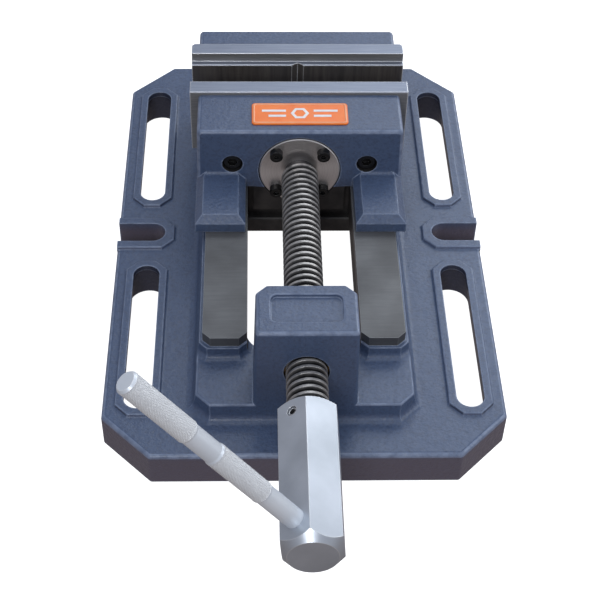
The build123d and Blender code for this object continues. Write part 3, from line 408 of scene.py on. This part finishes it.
def base_finish(centre, normal):
    """0 enamel, 1 bare iron in painted shade, 2 milled way, 3 rim lightened as wear and painted
    highlight, 4 slot wall in painted shade.
    """
    x, y, z = abs(centre.x), centre.y, centre.z
    across_way = WAY_INNER_X - NEAR < x < WAY_OUTER_X + NEAR
    if across_way and WAY_LOW_Z + NEAR < z < WAY_TOP_Z / MM + NEAR and y < WAY_REAR_Y:
        return 2
    upright = abs(normal.z) < 0.5
    in_window = x < WAY_INNER_X + NEAR and WINDOW_FRONT_Y < y < WINDOW_REAR_Y
    in_pocket = x < POCKET_HALF and POCKET_FRONT_Y < y < POCKET_REAR_Y and z < POCKET_TOP_Z
    in_bore = from_screw(centre) < NUT_BORE_RADIUS and y < NUT_BORE_REAR_Y
    behind_plate = abs(y - FIXED_FACE_Y) < NEAR and z > PLATE_FOOT_Z
    if z < NEAR or (in_window and upright) or in_pocket or in_bore or behind_plate:
        return 1
    if in_counterbore(centre, FIXED_FACE_Y + NEAR):
        return 1
    in_slot = abs(x - SLOT_X) < SLOT_WALL_X and abs(abs(y) - SLOT_Y) < SLOT_WALL_Y
    # Slot walls take the darker enamel: painted shade
    if in_slot and upright:
        return 4
    # Rim fillets facing partly up take the lighter enamel: wear and painted highlight
    return 3 if 0.15 < normal.z < 0.97 and at_rim(x, z) else 0


def jaw_finish(centre, normal):
    """0 enamel, 1 bare iron in painted shade, 2 top edge lightened as wear and painted highlight."""
    in_recess = from_screw(centre) < FLANGE_RECESS_RADIUS and centre.y > JAW_RECESS_Y
    milled = centre.y > JAW_REAR_Y or centre.z < JAW_FOOT_Z
    if in_recess or milled or in_counterbore(centre, JAW_RECESS_Y):
        return 1
    # Slanted faces of the jaw's top take the lighter enamel: wear and painted highlight
    return 2 if centre.z > JAW_HIGHLIT_Z and max(abs(part) for part in normal) < 0.97 else 0


def plate_finish(centre, normal):
    """0 work face, dark as painted shade, 1 ground top and ledge, lighter and bluer as a painted
    reflection, 2 ground back, ends and the step's short face, lighter than the work face, a painted
    reflection on the step's face
    """
    if normal.z > 0.6:
        return 1
    against_jaw = normal.y < -0.9 if centre.y < BETWEEN_PLATES_Y else normal.y > 0.9
    return 2 if against_jaw or abs(normal.x) > 0.9 or centre.z > STEP_FACE_Z else 0


dress("base_casting", base_finish, PAINT, BARE_IN_SHADE, WAY, WORN_HIGHLIT, SHADED)
dress("moving_jaw_casting", jaw_finish, PAINT, BARE_IN_SHADE, WORN_HIGHLIT)
for plate in ("moving_jaw_plate", "fixed_jaw_plate"):
    dress(plate, plate_finish, WORK_FACE_IN_SHADE, PLATE_TOP, PLATE_END)
ONE_FINISH = {
    "screw_flange": FLANGE,
    "hex_hub": HUB,
    "lead_screw_nut": BRONZE,
    "nameplate": ORANGE,
    "keeper_plate": BARE_IN_SHADE,
    "fixed_jaw_plate_screws": BLACK,
    "moving_jaw_plate_screws": BLACK,
    "flange_screws": BLACK,
    "keeper_screws": BLACK,
    "keeper_spring_washers": STEEL,
    "thrust_pad": STEEL,
    "thrust_collar": STEEL,
    "nut_locking_pin": STEEL,
    "collar_pin": STEEL,
    "hub_spring_pin": STEEL,
}
for name, material in ONE_FINISH.items():
    dress(name, None, material)


# ---------------------------------------------------------------- mesh helpers
def new_object(name, build, material):
    """New mesh object from a bmesh that build fills."""
    shape = bmesh.new()
    build(shape)
    bmesh.ops.recalc_face_normals(shape, faces=shape.faces)
    mesh = bpy.data.meshes.new(name)
    shape.to_mesh(mesh)
    shape.free()
    mesh.materials.append(material)
    made = bpy.data.objects.new(name, mesh)
    bpy.context.scene.collection.objects.link(made)
    return made


def piece(name, build, material, body):
    """New piece of the object, riding on a body."""
    made = new_object(name, build, material)
    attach(made, body)
    return made


def smooth(made, angle=35.0):
    """Shade smooth, with edges sharper than the angle kept crisp."""
    for face in made.data.polygons:
        face.use_smooth = True
    made.data.set_sharp_from_angle(angle=math.radians(angle))


# ---------------------------------------------------------------- knurled handle
HANDLE_LEAN = math.radians(-36.0)      # from straight up, towards +X
SHANK_RADIUS = 4.0 * MM                # inside the hub
GRIP_RADIUS = 5.2 * MM
NECK_RADIUS = 4.7 * MM
KNURL_TEETH = 36
KNURL_DEPTH = 0.30 * MM
SHOULDER = 1.1 * MM                    # length of the slope at each end of a grip
SHOULDER_EASE = 0.08 * MM              # how much lower than the grip the slope starts
SHOULDER_DROP, TIP_DROP = 0.5 * MM, 0.9 * MM    # how much lower it ends, and at the handle's tip
KNURL_INSET = 1.3 * SHOULDER           # from a grip's end to its knurl
HANDLE_STRETCHES = [                   # (start, end, radius, knurled), from the screw axis
    (2.5, 13.5, SHANK_RADIUS, False),
    (13.5, 36.0, NECK_RADIUS, False),
    (36.0, 70.0, GRIP_RADIUS, True),
    (70.0, 85.5, NECK_RADIUS, False),
    (85.5, 124.0, GRIP_RADIUS, True),
]


def handle_rings():
    """(height, radius, knurled) of each ring of the handle, from the hub outwards."""
    rings = []
    step = 2 * math.pi * GRIP_RADIUS / KNURL_TEETH / 2
    for start, end, radius, knurled in HANDLE_STRETCHES:
        low, high = start * MM, end * MM
        if not knurled:
            rings += [(low, radius, False), (high, radius, False)]
            continue
        eased = radius - SHOULDER_EASE
        rings += [(low, radius - SHOULDER_DROP, False), (low + SHOULDER, eased, False)]
        count = int((high - low - 2 * KNURL_INSET) / step)
        rings += [(low + KNURL_INSET + i * step, radius, True) for i in range(count)]
        drop = TIP_DROP if end == HANDLE_STRETCHES[-1][1] else SHOULDER_DROP
        rings += [(high - SHOULDER, eased, False), (high, radius - drop, False)]
    return rings


def build_handle(shape):
    """Rings joined by triangles; on a grip every other point is a tooth of the knurl."""
    around = 2 * KNURL_TEETH
    loops = []
    for row, (height, radius, knurled) in enumerate(handle_rings()):
        loop = []
        for column in range(around):
            angle = 2 * math.pi * column / around
            low_point = knurled and (row + column) % 2
            reach = radius - KNURL_DEPTH if low_point else radius
            loop.append(shape.verts.new((reach * math.cos(angle), reach * math.sin(angle), height)))
        loops.append(loop)
    for row in range(len(loops) - 1):
        for column in range(around):
            after = (column + 1) % around
            a, b = loops[row][column], loops[row][after]
            c, d = loops[row + 1][after], loops[row + 1][column]
            corners = ((a, b, d), (b, c, d)) if (row + column) % 2 == 0 else ((a, b, c), (a, c, d))
            for triangle in corners:
                shape.faces.new(triangle)
    shape.faces.new(loops[0])
    shape.faces.new(loops[-1])
    turn = Matrix.Rotation(HANDLE_LEAN, 4, "Y")
    shape.transform(Matrix.Translation((0, HANDLE_Y, SCREW_Z)) @ turn)


handle = piece("knurled_handle", build_handle, HANDLE, "screw")
smooth(handle, 24.0)
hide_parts("handle_bar")


# ---------------------------------------------------------------- lead screw's thread
PITCH = 4.0
THREAD_START, THREAD_END = -157.7, 8.5
SPIGOT_START, SPIGOT_RADIUS = -183.7, 7.5
JOURNAL_END, JOURNAL_RADIUS = 34.95, 7.75
END_CHAMFER = 0.8
SEAM = 0.002 * MM                      # points nearer to each other than this are one
THREAD_SECTION = [                     # (along the axis, radius) over one pitch
    (0.0, 9.88),
    (0.14, 10.0),
    (1.324, 10.0),
    (1.464, 9.88),
    (2.067, 7.75),
    (3.397, 7.75),
]


def section_radius(along):
    """Radius of the thread's section at a place along the axis, repeated every pitch."""
    along %= PITCH
    ends = THREAD_SECTION + [(PITCH, THREAD_SECTION[0][1])]
    for (start, low), (end, high) in zip(ends, ends[1:]):
        if along <= end:
            return low + (high - low) * (along - start) / (end - start)
    return high


def screw_point(angle, y, radius):
    """Point about the screw axis, angle right-handed about +Y from straight up."""
    return (radius * math.sin(angle) * MM, y * MM, SCREW_Z + radius * math.cos(angle) * MM)


def add_plain_end(shape, edge, start, end, radius):
    """Plain round end of the screw, from the thread's edge at start to a chamfer at end."""
    outward = 1 if end > start else -1
    around = len(edge)
    rings = ((start, radius), (end - outward * END_CHAMFER, radius), (end, radius - END_CHAMFER))
    for y, ring_radius in rings:
        angles = [2 * math.pi * i / around for i in range(around)]
        ring = [shape.verts.new(screw_point(angle, y, ring_radius)) for angle in angles]
        for i, corner in enumerate(edge):
            after = (i + 1) % around
            shape.faces.new((corner, edge[after], ring[after], ring[i]))
        edge = ring
    shape.faces.new(edge)


def build_screw(shape):
    """Right-hand helical thread on a spigot and neck, its two ends trimmed square."""
    around = 60
    turns = math.ceil((THREAD_END - THREAD_START) / PITCH) + 1
    rows = [
        (turn * PITCH + along, radius)
        for turn in range(-1, turns)
        for along, radius in THREAD_SECTION
    ]
    columns = []
    for column in range(around + 1):
        advance = PITCH * column / around
        angle = 2 * math.pi * column / around
        points = []
        for along, radius in rows:
            y = THREAD_START + along + advance
            trimmed = min(max(y, THREAD_START), THREAD_END)
            if trimmed != y:
                radius = section_radius(trimmed - THREAD_START - advance)
            points.append(shape.verts.new(screw_point(angle, trimmed, radius)))
        columns.append(points)
    for first, second in zip(columns, columns[1:]):
        for row in range(len(rows) - 1):
            shape.faces.new((first[row], second[row], second[row + 1], first[row + 1]))
    first_edge = [column[0] for column in columns[:-1]]
    last_edge = [column[-1] for column in columns[:-1]]
    add_plain_end(shape, first_edge, THREAD_START, SPIGOT_START, SPIGOT_RADIUS)
    add_plain_end(shape, last_edge, THREAD_END, JOURNAL_END, JOURNAL_RADIUS)
    bmesh.ops.remove_doubles(shape, verts=shape.verts, dist=SEAM)
    bmesh.ops.dissolve_degenerate(shape, edges=shape.edges, dist=SEAM)


screw = piece("helical_screw", build_screw, THREAD, "screw")
smooth(screw, 25.0)
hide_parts("lead_screw")


# ---------------------------------------------------------------- nameplate
BEAD = (                               # (half length, half width, corner radius, rise) of each loop
    (25.4, 8.4, 1.6, 0.0),
    (25.2, 8.2, 1.5, 0.28),
    (24.4, 7.4, 1.0, 0.28),
    (24.2, 7.2, 0.9, 0.0),
)
BARS = ((2.2, 7.5, 20.5), (-2.2, 7.5, 17.0))    # (place across, inner end, outer end)
BAR_HALF = 0.9
HEXAGON_RADII = (5.0, 3.2)
MARK_RISE = 0.12
SUNK = 0.05                            # how far the bead and the mark reach into the plate


def rounded_outline(half_x, half_y, corner, steps=6):
    """Points round a rectangle with rounded corners, about the nameplate's centre."""
    points = []
    for quarter, (sign_x, sign_y) in enumerate(((1, 1), (-1, 1), (-1, -1), (1, -1))):
        for step in range(steps + 1):
            angle = math.pi / 2 * (quarter + step / steps)
            x = sign_x * (half_x - corner) + corner * math.cos(angle)
            y = sign_y * (half_y - corner) + corner * math.sin(angle)
            points.append((x * MM, y * MM))
    return points


def add_prism(shape, points, low_z, high_z):
    """Closed prism on an outline of (x, y) points in the nameplate's plane."""
    bottom = [shape.verts.new((x, y, low_z)) for x, y in points]
    top = [shape.verts.new((x, y, high_z)) for x, y in points]
    shape.faces.new(bottom)
    shape.faces.new(top)
    for i, corner in enumerate(bottom):
        after = (i + 1) % len(bottom)
        shape.faces.new((corner, bottom[after], top[after], top[i]))


def build_rim(shape):
    """Raised rounded border near the plate's edge."""
    loops = []
    for half_x, half_y, corner, rise in BEAD:
        height = PLATE_HIGH.z + (rise - SUNK) * MM
        outline = [
            (PLATE_CENTRE.x + x, PLATE_CENTRE.y + y, height)
            for x, y in rounded_outline(half_x, half_y, corner)
        ]
        loops.append([shape.verts.new(point) for point in outline])
    for index, loop in enumerate(loops):
        other = loops[(index + 1) % len(loops)]
        for i, corner in enumerate(loop):
            after = (i + 1) % len(loop)
            shape.faces.new((corner, loop[after], other[after], other[i]))


def build_graphic(shape):
    """Plain generic mark: a ring of a hexagon nut between two pairs of bars."""
    low_z = PLATE_HIGH.z - SUNK * MM
    high_z = PLATE_HIGH.z + MARK_RISE * MM
    centre_x, centre_y = PLATE_CENTRE.x, PLATE_CENTRE.y
    for side in (-1, 1):
        for across, start, end in BARS:
            xs = sorted((side * start * MM, side * end * MM))
            ys = ((across - BAR_HALF) * MM, (across + BAR_HALF) * MM)
            corners = [(xs[0], ys[0]), (xs[1], ys[0]), (xs[1], ys[1]), (xs[0], ys[1])]
            add_prism(shape, [(centre_x + x, centre_y + y) for x, y in corners], low_z, high_z)
    rings = []
    for radius in HEXAGON_RADII:
        angles = [math.pi / 3 * i for i in range(6)]
        corners = [(radius * MM * math.cos(a), radius * MM * math.sin(a)) for a in angles]
        for z in (low_z, high_z):
            rings.append([shape.verts.new((centre_x + x, centre_y + y, z)) for x, y in corners])
    outer_low, outer_high, inner_low, inner_high = rings
    around = [outer_low, outer_high, inner_high, inner_low, outer_low]
    for first, second in zip(around, around[1:]):
        for i in range(6):
            after = (i + 1) % 6
            shape.faces.new((first[i], first[after], second[after], second[i]))


rim = piece("nameplate_rim", build_rim, ORANGE_RIM, "moving_jaw")
smooth(rim, 60.0)
piece("nameplate_graphic", build_graphic, WHITE, "moving_jaw")


# ---------------------------------------------------------------- floor, light and camera
def build_floor(shape):
    """Floor just under the base, wide enough to fill a low view."""
    reach = 9.0
    corners = ((-reach, -reach), (reach, -reach), (reach, reach), (-reach, reach))
    shape.faces.new([shape.verts.new((x, y, FLOOR_Z)) for x, y in corners])


floor = new_object("floor", build_floor, table_top())
floor.visible_diffuse = False
floor.visible_glossy = False


def softbox(name, place, target, size, power, colour):
    """Square area light at place, facing target."""
    light = bpy.data.lights.new(name, "AREA")
    light.shape = "SQUARE"
    light.size = size
    light.energy = power
    light.color = colour
    lamp = bpy.data.objects.new(name, light)
    lamp.location = place
    lamp.rotation_euler = (Vector(target) - Vector(place)).to_track_quat("-Z", "Y").to_euler()
    bpy.context.scene.collection.objects.link(lamp)


softbox("back_key", (0.35, 1.0, 1.15), (0, 0, 0), 0.9, 5, (0.90, 0.95, 1.0))
softbox("overhead", (-0.1, 0.0, 1.6), (0, 0, 0), 1.0, 3, (0.95, 0.97, 1.0))
softbox("right_fill", (1.5, -0.3, 0.9), (0, -0.05, 0.05), 0.9, 6, (0.93, 0.97, 1.0))
softbox("back_right", (1.0, 1.15, 0.6), (0, -0.1, 0.05), 0.7, 4, (0.93, 0.97, 1.0))
softbox("front_high", (-0.25, -1.35, 1.0), (0, -0.1, 0.05), 0.4, 5.5, (0.95, 0.97, 1.0))


# (place from straight down to straight up, colour) of the room's light
ROOM_TONES = (
    (0.35, (0.230, 0.205, 0.205)),
    (0.55, (0.32, 0.32, 0.35)),
    (1.0, (0.38, 0.42, 0.50)),
)


def studio_world():
    """Soft room: bright above, dimmer at the sides and dark below."""
    world = bpy.data.worlds.new("studio")
    world.use_nodes = True
    tree = world.node_tree
    direction = tree.nodes.new("ShaderNodeTexCoord")
    split = tree.nodes.new("ShaderNodeSeparateXYZ")
    ramp = tree.nodes.new("ShaderNodeValToRGB")
    height = tree.nodes.new("ShaderNodeMapRange")
    tree.links.new(direction.outputs["Generated"], split.inputs[0])
    height.inputs["From Min"].default_value = -1.0
    tree.links.new(split.outputs["Z"], height.inputs["Value"])
    tree.links.new(height.outputs["Result"], ramp.inputs["Fac"])
    elements = ramp.color_ramp.elements
    elements.new(0.5)
    for element, (place, colour) in zip(elements, ROOM_TONES):
        element.position = place
        element.color = (*colour, 1)
    tree.links.new(ramp.outputs["Color"], tree.nodes["Background"].inputs["Color"])
    return world


bpy.context.scene.world = studio_world()
bpy.context.scene.view_settings.view_transform = "Standard"

CAMERA_PLACE = Vector((-23.5, -559.0, 548.0)) * MM
CAMERA_AZIMUTH = math.radians(1.892)   # from +Y towards +X
CAMERA_DIP = math.radians(46.044)      # below level
CAMERA_ROLL = math.radians(1.206)

forward = Vector((
    math.sin(CAMERA_AZIMUTH) * math.cos(CAMERA_DIP),
    math.cos(CAMERA_AZIMUTH) * math.cos(CAMERA_DIP),
    -math.sin(CAMERA_DIP),
))
level = Vector((math.cos(CAMERA_AZIMUTH), -math.sin(CAMERA_AZIMUTH), 0))
upward = level.cross(forward)
right = level * math.cos(CAMERA_ROLL) + upward * math.sin(CAMERA_ROLL)
up = upward * math.cos(CAMERA_ROLL) - level * math.sin(CAMERA_ROLL)

lens = bpy.data.cameras.new("camera")
lens.lens = 82.46
lens.sensor_width = 36.0
lens.shift_x = 0.0194
lens.shift_y = -0.0016
lens.clip_end = 20.0
camera = bpy.data.objects.new("camera", lens)
turn = Matrix((right, up, -forward)).transposed()
camera.matrix_world = Matrix.Translation(CAMERA_PLACE) @ turn.to_4x4()
bpy.context.scene.collection.objects.link(camera)
bpy.context.scene.camera = camera
